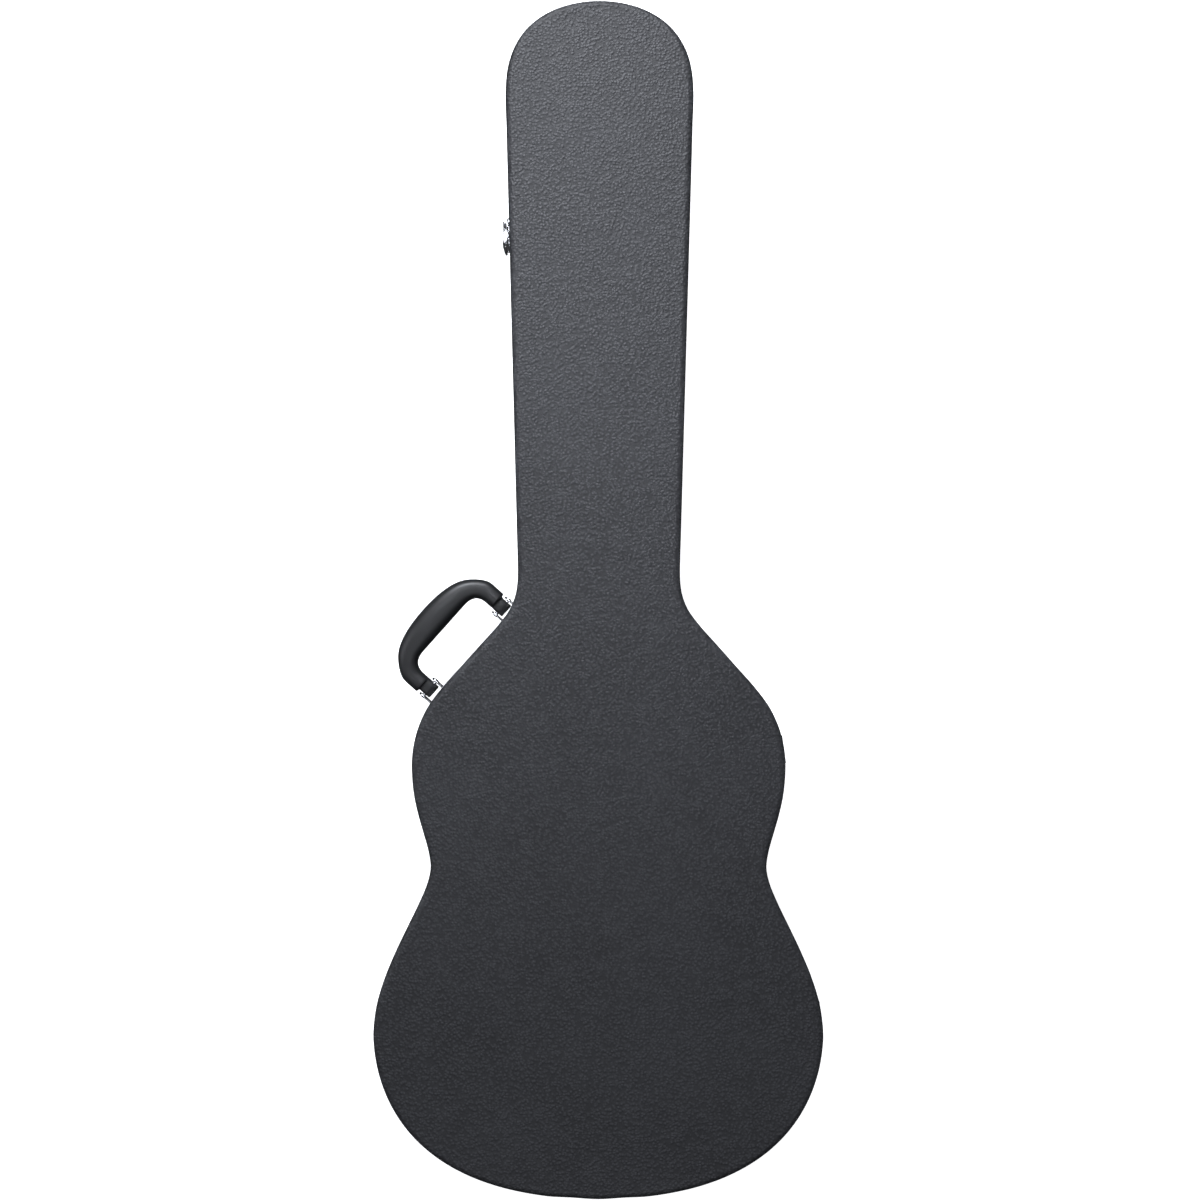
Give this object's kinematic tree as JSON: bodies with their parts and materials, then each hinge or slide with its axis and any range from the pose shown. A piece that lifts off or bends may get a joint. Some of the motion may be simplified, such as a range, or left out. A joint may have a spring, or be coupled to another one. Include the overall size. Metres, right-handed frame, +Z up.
{
  "type": "guitar case",
  "caption": "Hard-shell classical guitar case, plywood under pebbled vinyl, with a hinged lid, draw latches, carrying handle, plush lining, neck cradle and accessory compartment",
  "frame": {"origin": "on the surface that the closed case lies on, under the middle of its outer box", "axes": "+X across the case from the handle side to the hinge side, +Y from the tail to the head end, +Z up out of the lid"},
  "size_m": [0.408, 1.0708, 0.13],
  "materials": {
    "vinyl": "pebble-grained black vinyl covering, satin",
    "plywood": "bare birch plywood",
    "plush": "short-pile charcoal plush over foam",
    "black_plastic": "extruded black plastic",
    "handle_plastic": "moulded black plastic, satin",
    "webbing": "woven black webbing",
    "chrome": "bright nickel plate"
  },
  "bodies": {
    "base": {"base_back_covering": "vinyl", "base_side_covering": "vinyl", "base_back_panel": "plywood", "base_rim_tail_strip": "plywood", "base_rim_left_strip": "plywood", "base_rim_right_strip": "plywood", "base_rim_neck_strip": "plywood", "base_valance": "black_plastic", "base_floor_padding": "plush", "base_side_padding": "plush", "neck_cradle": "plush", "compartment_wall": "plush", "stay_strap": "webbing", "tail_hinge_base_leaf": "chrome", "tail_hinge_pin": "chrome", "waist_hinge_base_leaf": "chrome", "waist_hinge_pin": "chrome", "handle_tail_bracket": "chrome", "handle_head_bracket": "chrome", "handle_tail_pin": "chrome", "handle_head_pin": "chrome", "neck_latch_plate": "chrome", "lower_bout_latch_plate": "chrome", "tail_latch_plate": "chrome"},
    "lid": {"lid_top_covering": "vinyl", "lid_side_covering": "vinyl", "lid_top_panel": "plywood", "lid_rim_tail_strip": "plywood", "lid_rim_left_strip": "plywood", "lid_rim_right_strip": "plywood", "lid_rim_neck_strip": "plywood", "lid_top_padding": "plush", "lid_side_padding": "plush", "tail_hinge_lid_leaf": "chrome", "waist_hinge_lid_leaf": "chrome", "neck_latch_keeper": "chrome", "lower_bout_latch_keeper": "chrome", "tail_latch_keeper": "chrome"},
    "handle": {"handle_grip": "handle_plastic"},
    "compartment_lid": {"compartment_lid": "plush", "compartment_pull_tab": "webbing"},
    "neck_latch_lever": {"neck_latch_lever": "chrome"},
    "neck_latch_claw": {"neck_latch_claw": "chrome"},
    "lower_bout_latch_lever": {"lower_bout_latch_lever": "chrome"},
    "lower_bout_latch_claw": {"lower_bout_latch_claw": "chrome"},
    "tail_latch_lever": {"tail_latch_lever": "chrome"},
    "tail_latch_claw": {"tail_latch_claw": "chrome"},
    "lock_barrel": {"lower_bout_latch_lock_barrel": "chrome"}
  },
  "joints": [
    {"name": "lid_hinge", "type": "hinge", "parent": "base", "child": "lid", "pos_m": [0.20042, -0.38102, 0.086], "axis": [-0.1398, 0.9902, 0], "range_deg": [0, 100]},
    {"name": "handle_pivot", "type": "hinge", "parent": "base", "child": "handle", "pos_m": [-0.12783, -0.04464, 0.06], "axis": [0.6655, 0.7464, 0], "range_deg": [-72, 72]},
    {"name": "compartment_lid_hinge", "type": "hinge", "parent": "base", "child": "compartment_lid", "pos_m": [-0.003, 0.00442, 0.05815], "axis": [1, 0, 0], "range_deg": [0, 50]},
    {"name": "neck_latch_lever_pivot", "type": "hinge", "parent": "base", "child": "neck_latch_lever", "pos_m": [-0.08859, 0.33729, 0.073], "axis": [-0.0272, 0.9996, 0], "range_deg": [0, 110]},
    {"name": "neck_latch_claw_pivot", "type": "hinge", "parent": "neck_latch_lever", "child": "neck_latch_claw", "pos_m": [-0.08789, 0.33731, 0.066], "axis": [-0.0272, 0.9996, 0], "range_deg": [-110, 0]},
    {"name": "lower_bout_latch_lever_pivot", "type": "hinge", "parent": "base", "child": "lower_bout_latch_lever", "pos_m": [-0.1685, -0.48605, 0.073], "axis": [-0.7041, 0.7101, 0], "range_deg": [0, 110]},
    {"name": "lower_bout_latch_claw_pivot", "type": "hinge", "parent": "lower_bout_latch_lever", "child": "lower_bout_latch_claw", "pos_m": [-0.168, -0.48555, 0.066], "axis": [-0.7041, 0.7101, 0], "range_deg": [-110, 0]},
    {"name": "tail_latch_lever_pivot", "type": "hinge", "parent": "base", "child": "tail_latch_lever", "pos_m": [0.09068, -0.52714, 0.073], "axis": [-0.9569, -0.2906, 0], "range_deg": [0, 110]},
    {"name": "tail_latch_claw_pivot", "type": "hinge", "parent": "tail_latch_lever", "child": "tail_latch_claw", "pos_m": [0.09048, -0.52648, 0.066], "axis": [-0.9569, -0.2906, 0], "range_deg": [-110, 0]},
    {"name": "lock_turn", "type": "hinge", "parent": "lower_bout_latch_lever", "child": "lock_barrel", "pos_m": [-0.16935, -0.48689, 0.057], "axis": [-0.7101, -0.7041, 0], "range_deg": [0, 90]}
  ],
  "couplings": [
    {"joint": "compartment_lid_hinge", "follows": "lid_hinge", "ratio": 0.5},
    {"joint": "neck_latch_claw_pivot", "follows": "neck_latch_lever_pivot", "ratio": -1},
    {"joint": "lower_bout_latch_claw_pivot", "follows": "lower_bout_latch_lever_pivot", "ratio": -1},
    {"joint": "tail_latch_claw_pivot", "follows": "tail_latch_lever_pivot", "ratio": -1}
  ]
}
